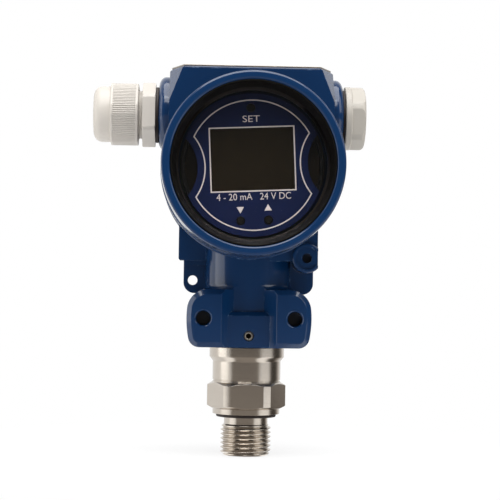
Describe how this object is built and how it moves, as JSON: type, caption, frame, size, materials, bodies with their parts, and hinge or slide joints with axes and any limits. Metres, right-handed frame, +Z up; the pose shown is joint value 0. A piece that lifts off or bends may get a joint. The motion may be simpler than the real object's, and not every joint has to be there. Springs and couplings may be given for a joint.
{
  "type": "pressure transmitter",
  "caption": "Field pressure transmitter with a round windowed display, screwed covers, a cable gland, a blanking plug and a threaded stainless process connection.",
  "frame": {"origin": "free end of the process thread, on the axis of the sensor body", "axes": "+Z up along the sensor body towards the housing, -Y the way the display looks, +X from the cable gland to the blanking plug"},
  "size_m": [0.1129, 0.095, 0.1604],
  "materials": {
    "blue_paint": "gloss",
    "stainless": "turned",
    "black_rubber": "matte",
    "window_glass": "clear",
    "black_moulding": "satin",
    "navy_film": "satin",
    "dark_panel": "gloss",
    "circuit_board": "satin",
    "plated_brass": "satin",
    "gold_pins": "bright",
    "plated_steel": "bright",
    "grey_nylon": "satin",
    "name_plate": "brushed"
  },
  "bodies": {
    "sensor": {"sensor_body": "stainless", "process_seal": "black_rubber", "sensor_seal": "black_rubber", "pressure_capsule": "stainless", "sensor_diaphragm": "stainless", "capsule_seal": "black_rubber", "capsule_pins": "gold_pins", "capsule_ring": "stainless"},
    "housing": {"housing": "blue_paint", "swivel_screw": "stainless", "display_plate": "navy_film", "lcd_panel": "dark_panel", "display_case": "black_moulding", "display_board": "dark_panel", "key_switches": "black_moulding", "main_board": "circuit_board", "display_pillars": "plated_brass", "case_screws": "plated_steel", "feedthrough": "black_moulding", "feedthrough_pins": "gold_pins", "terminal_block": "black_moulding", "terminal_screws": "plated_brass", "terminal_fixings": "plated_steel", "chamber_earth_screw": "plated_steel", "gland_body": "grey_nylon", "gland_seal": "black_rubber", "nameplate": "name_plate", "nameplate_screws": "plated_steel"},
    "front_cover_seal": {"front_cover_seal": "black_rubber"},
    "front_cover": {"front_cover": "blue_paint", "window_bezel": "black_moulding", "window_glass": "window_glass", "window_seal": "black_rubber"},
    "rear_cover_seal": {"rear_cover_seal": "black_rubber"},
    "rear_cover": {"rear_cover": "blue_paint"},
    "plug_seal": {"plug_seal": "black_rubber"},
    "blanking_plug": {"blanking_plug": "grey_nylon"},
    "gland_insert": {"gland_insert": "black_rubber"},
    "gland_nut": {"gland_nut": "grey_nylon"},
    "set_button": {"set_button": "black_moulding"},
    "down_button": {"down_button": "black_moulding"},
    "up_button": {"up_button": "black_moulding"}
  },
  "joints": [
    {"name": "housing_swivel", "type": "hinge", "parent": "sensor", "child": "housing", "pos_m": [0, 0, 0.05], "axis": [0, 0, 1], "range_deg": [-180, 180]},
    {"name": "front_cover_travel", "type": "slide", "parent": "housing", "child": "front_cover_seal", "axis": [0, -1, 0], "range_m": [0, 0.00601]},
    {"name": "front_cover_turn", "type": "hinge", "parent": "front_cover_seal", "child": "front_cover", "pos_m": [0, -0.03, 0.1178], "axis": [0, -1, 0], "range_deg": [0, 1440]},
    {"name": "rear_cover_travel", "type": "slide", "parent": "housing", "child": "rear_cover_seal", "axis": [0, 1, 0], "range_m": [0, 0.00601]},
    {"name": "rear_cover_turn", "type": "hinge", "parent": "rear_cover_seal", "child": "rear_cover", "pos_m": [0, 0.03, 0.1178], "axis": [0, 1, 0], "range_deg": [0, 1440]},
    {"name": "plug_travel", "type": "slide", "parent": "housing", "child": "plug_seal", "axis": [1, 0, 0], "range_m": [0, 0.00901]},
    {"name": "plug_turn", "type": "hinge", "parent": "plug_seal", "child": "blanking_plug", "pos_m": [0.04, 0, 0.1411], "axis": [1, 0, 0], "range_deg": [0, 2160]},
    {"name": "gland_nut_travel", "type": "slide", "parent": "housing", "child": "gland_insert", "axis": [-1, 0, 0], "range_m": [-0.00121, 0.00751]},
    {"name": "gland_nut_turn", "type": "hinge", "parent": "gland_insert", "child": "gland_nut", "pos_m": [-0.055, 0, 0.1411], "axis": [-1, 0, 0], "range_deg": [-288, 1800]},
    {"name": "set_button_press", "type": "slide", "parent": "housing", "child": "set_button", "axis": [0, 1, 0], "range_m": [0, 0.0005], "stiffness_N_per_m": 400, "springref_m": -0.0003},
    {"name": "down_button_press", "type": "slide", "parent": "housing", "child": "down_button", "axis": [0, 1, 0], "range_m": [0, 0.0005], "stiffness_N_per_m": 400, "springref_m": -0.0003},
    {"name": "up_button_press", "type": "slide", "parent": "housing", "child": "up_button", "axis": [0, 1, 0], "range_m": [0, 0.0005], "stiffness_N_per_m": 400, "springref_m": -0.0003}
  ],
  "couplings": [
    {"joint": "front_cover_travel", "follows": "front_cover_turn", "m_per_rad": 0.00023873},
    {"joint": "rear_cover_travel", "follows": "rear_cover_turn", "m_per_rad": 0.00023873},
    {"joint": "plug_travel", "follows": "plug_turn", "m_per_rad": 0.00023873},
    {"joint": "gland_nut_travel", "follows": "gland_nut_turn", "m_per_rad": 0.00023873}
  ]
}
